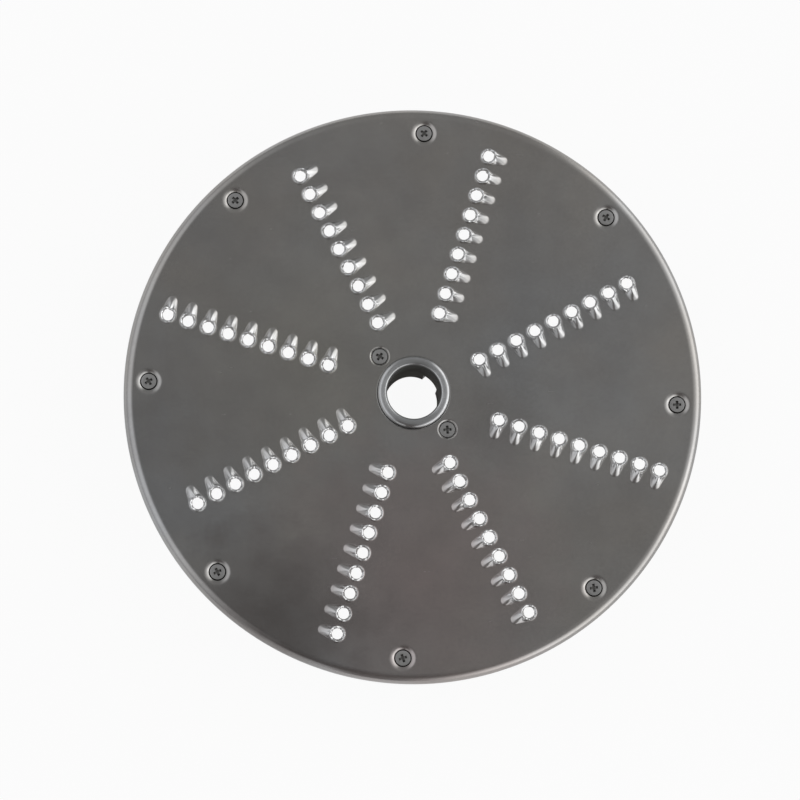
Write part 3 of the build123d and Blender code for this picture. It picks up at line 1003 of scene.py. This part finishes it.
def softbox(name, aim, azimuth, elevation, distance, width, height, power):
    """Area lamp that looks at a point from two angles in degrees and a distance in metres."""
    lamp = bpy.data.lights.new(name, "AREA")
    lamp.shape = "RECTANGLE"
    lamp.size = width
    lamp.size_y = height
    lamp.energy = power
    holder = new_object(name, lamp)
    a, e = radians(azimuth), radians(elevation)
    away = Vector((cos(e) * cos(a), cos(e) * sin(a), sin(e)))
    holder.location = aim + away * distance
    holder.rotation_euler = away.to_track_quat("Z", "Y").to_euler()


def photo_camera(stage, aim):
    """Camera at the angle and distance of the photograph."""
    lens = bpy.data.cameras.new("photo_camera")
    lens.sensor_width = SENSOR
    lens.lens = stage.lens
    lens.shift_x, lens.shift_y = PICTURE_SHIFT
    lens.clip_end = CLIP_END
    holder = new_object("photo_camera", lens)
    back = Vector(VIEW_BACK).normalized()
    right = Vector((0, 1, 0)).cross(back).normalized()
    up = back.cross(right)
    turned = Matrix((right, up, back)).transposed().to_4x4()
    holder.matrix_world = Matrix.Translation(aim + back * stage.distance) @ turned
    bpy.context.scene.camera = holder


def add_screws(screw, name, node, angles, radius, head_z):
    """Screws of one ring, each turned as far as it happened to be tightened."""
    steel = screw_steel(screw)
    mesh = screw_mesh(screw, name)
    for i, angle in enumerate(angles):
        piece = show("%s_%d" % (name, i + 1), mesh, steel, node)
        spin = Matrix.Rotation(radians(SPIN_STEP * i + SPIN_START), 4, "Z")
        piece.matrix_world = seat_place(angle, radius, head_z) @ spin


class GRATING_OT_plate(Operator):
    """Build the pressed grating plate"""

    bl_idname = "grating_disc.plate"
    bl_label = "Grating plate"

    def execute(self, context):
        plate = context.scene.disc_plate
        show("grating_sheet", plate_mesh(plate), sheet_steel(plate), "grating_plate")
        return {"FINISHED"}


class GRATING_OT_carrier(Operator):
    """Build the casting behind the plate"""

    bl_idname = "grating_disc.carrier"
    bl_label = "Carrier"

    def execute(self, context):
        scene = context.scene
        mesh = carrier_mesh(scene.disc_carrier, scene.disc_plate, scene.disc_screw)
        skin = cast_aluminium(scene.disc_carrier, scene.disc_plate)
        show("carrier_casting", mesh, skin, "carrier")
        return {"FINISHED"}


class GRATING_OT_rim_screws(Operator):
    """Build the screws in the dimples near the rim"""

    bl_idname = "grating_disc.rim_screws"
    bl_label = "Rim screws"

    def execute(self, context):
        plate, screw = context.scene.disc_plate, context.scene.disc_screw
        head_z = plate.face_z - screw.rim_depth
        add_screws(screw, "rim_screw", "rim_screws", rim_angles(plate), plate.rim_seat_r, head_z)
        return {"FINISHED"}


class GRATING_OT_hub_screws(Operator):
    """Build the screws beside the collar"""

    bl_idname = "grating_disc.hub_screws"
    bl_label = "Hub screws"

    def execute(self, context):
        plate, screw = context.scene.disc_plate, context.scene.disc_screw
        head_z = plate.face_z - screw.hub_depth
        add_screws(screw, "hub_screw", "hub_screws", hub_angles(plate), plate.hub_seat_r, head_z)
        return {"FINISHED"}


class GRATING_OT_stage(Operator):
    """Set up the floor, the light and the camera"""

    bl_idname = "grating_disc.stage"
    bl_label = "Stage"

    def execute(self, context):
        stage = context.scene.disc_stage
        aim = Vector((0, 0, context.scene.disc_plate.face_z))
        half = stage.floor_size / 2
        mesh = bpy.data.meshes.new("floor")
        mesh.from_pydata([(-half, -half, 0), (half, -half, 0), (half, half, 0), (-half, half, 0)], [], [(0, 1, 2, 3)])
        floor = new_object("floor", mesh)
        floor.data.materials.append(pale_floor(stage))
        light_tent(stage)
        softbox("right_softbox", aim, azimuth=-12, elevation=24, distance=1.5, width=0.5, height=0.5, power=0.4)
        photo_camera(stage, aim)
        context.scene.view_settings.view_transform = "Standard"
        return {"FINISHED"}


class GRATING_PT_panel(Panel):
    """Lists the pieces of the disc"""

    bl_idname = "GRATING_PT_panel"
    bl_label = "Grating Disc"
    bl_space_type = "VIEW_3D"
    bl_region_type = "UI"
    bl_category = "Grating Disc"

    def draw(self, context):
        for operator in OPERATORS:
            self.layout.operator(operator.bl_idname)


GROUPS = {"disc_plate": PlateSettings, "disc_screw": ScrewSettings, "disc_carrier": CarrierSettings,
          "disc_stage": StageSettings}
OPERATORS = (GRATING_OT_plate, GRATING_OT_carrier, GRATING_OT_rim_screws, GRATING_OT_hub_screws, GRATING_OT_stage)
CLASSES = (*GROUPS.values(), *OPERATORS, GRATING_PT_panel)


def register():
    for cls in CLASSES:
        bpy.utils.register_class(cls)
    for name, group in GROUPS.items():
        setattr(bpy.types.Scene, name, PointerProperty(type=group))


def unregister():
    for name in GROUPS:
        delattr(bpy.types.Scene, name)
    for cls in reversed(CLASSES):
        bpy.utils.unregister_class(cls)


def main():
    register()
    bpy.ops.grating_disc.plate()
    bpy.ops.grating_disc.carrier()
    bpy.ops.grating_disc.rim_screws()
    bpy.ops.grating_disc.hub_screws()
    bpy.ops.grating_disc.stage()


if __name__ == "__main__":
    main()
